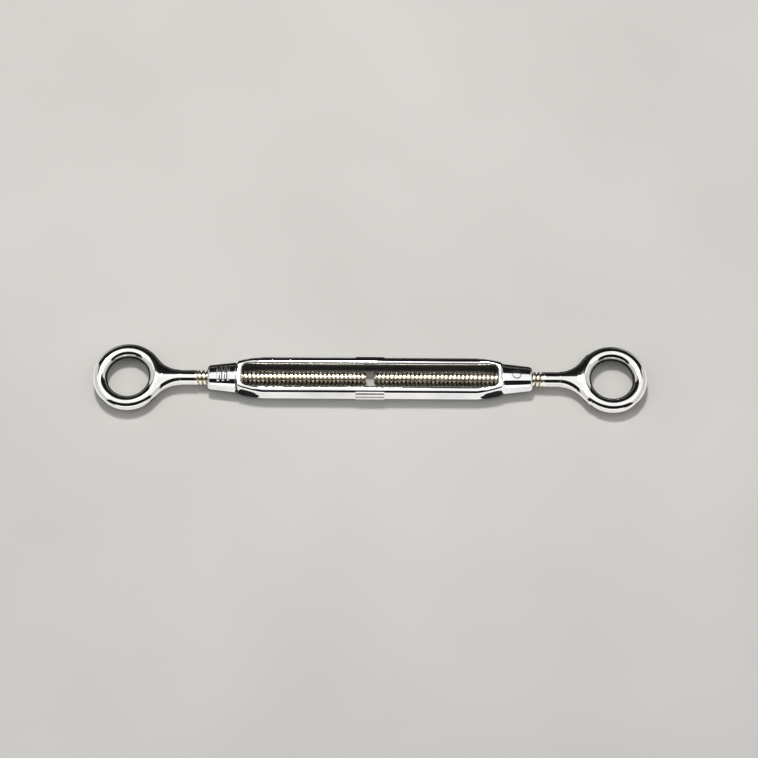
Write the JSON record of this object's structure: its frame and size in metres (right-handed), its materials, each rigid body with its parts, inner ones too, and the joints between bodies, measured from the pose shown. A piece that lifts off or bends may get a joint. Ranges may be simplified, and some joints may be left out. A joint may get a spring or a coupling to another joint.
{
  "type": "rigging turnbuckle",
  "caption": "Open-frame rigging turnbuckle: a slotted chrome-plated frame draws in eye bolts of opposite thread hand to tension a stay.",
  "frame": {"origin": "middle of the frame, on the common axis of the two screws, with the turnbuckle as wound in the picture", "axes": "+X along the screws towards the left-hand-thread eye, +Y across the slot, +Z square to the plane of both eyes and of the slot"},
  "size_m": [0.3694, 0.0464, 0.0188],
  "materials": {
    "frame_chrome": "bright chrome plate over a forged bronze frame",
    "bolt_chrome": "bright chrome plate over forged bronze, thinner and warmer in tint on the threads"
  },
  "bodies": {
    "frame": {"open_frame": "frame_chrome"},
    "right_hand_bolt": {"right_hand_eye_bolt": "bolt_chrome"},
    "left_hand_bolt": {"left_hand_eye_bolt": "bolt_chrome"}
  },
  "joints": [
    {"name": "right_hand_screw", "type": "slide", "parent": "frame", "child": "right_hand_bolt", "axis": [-1, 0, 0], "range_m": [-0.0025, 0.082]},
    {"name": "left_hand_screw", "type": "slide", "parent": "frame", "child": "left_hand_bolt", "axis": [1, 0, 0], "range_m": [-0.0025, 0.082]}
  ],
  "couplings": [
    {"joint": "left_hand_screw", "follows": "right_hand_screw", "ratio": 1}
  ]
}
